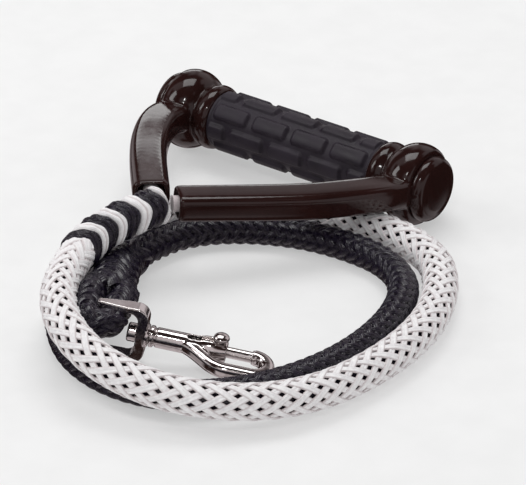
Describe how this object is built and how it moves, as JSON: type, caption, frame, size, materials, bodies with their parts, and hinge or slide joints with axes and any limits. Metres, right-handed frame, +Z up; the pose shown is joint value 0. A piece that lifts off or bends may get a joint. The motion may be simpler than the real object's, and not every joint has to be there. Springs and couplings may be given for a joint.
{
  "type": "tow rope handle",
  "caption": "One-handed bar handle on a short doubled rope lead with a swivel bolt snap, for towing.",
  "frame": {"origin": "on the floor under the middle of the handle's outline, without its rope lead", "axes": "+X along the grip, the arms reach towards -Y, +Z up"},
  "size_m": [0.2758, 0.3025, 0.0543],
  "materials": {
    "bar_aluminium": "satin",
    "foam": "matte",
    "grip_rubber": "matte",
    "moulding": "gloss",
    "rope_white": "matte",
    "rope_black": "matte",
    "plated": "polished",
    "spring_steel": "satin"
  },
  "bodies": {
    "handle": {"handle_tube": "bar_aluminium", "foam_core": "foam", "grip": "grip_rubber", "arm_left": "moulding", "arm_right": "moulding", "end_cap_left": "moulding", "end_cap_right": "moulding", "bridle_left": "rope_white", "bridle_right": "rope_white", "bridle_knot_left": "rope_white", "bridle_knot_right": "rope_white", "splice_bands_black": "rope_black", "splice_bands_white": "rope_white", "rope_core": "rope_black", "rope_sleeve": "rope_white", "rope_tail": "rope_black", "eye_splice": "rope_black", "eye_loop": "rope_black"},
    "bow": {"snap_bow": "plated"},
    "snap": {"snap_body": "plated", "swivel_rivet": "plated", "snap_spring": "spring_steel"},
    "bolt": {"snap_bolt": "plated", "thumb_stud": "plated"}
  },
  "joints": [
    {"name": "bow_swing", "type": "hinge", "parent": "handle", "child": "bow", "pos_m": [0.0348, -0.1745, 0.0216], "axis": [0.1428, 0.0792, 0.9866], "range_deg": [0, 22]},
    {"name": "snap_swivel", "type": "hinge", "parent": "bow", "child": "snap", "pos_m": [0.0348, -0.1745, 0.0216], "axis": [0.8629, 0.4783, -0.1633], "continuous": true},
    {"name": "bolt_slide", "type": "slide", "parent": "snap", "child": "bolt", "axis": [-0.8629, -0.4783, 0.1633], "range_m": [0, 0.016], "stiffness_N_per_m": 250, "springref_m": -0.004, "deforming": ["snap_spring"]}
  ]
}
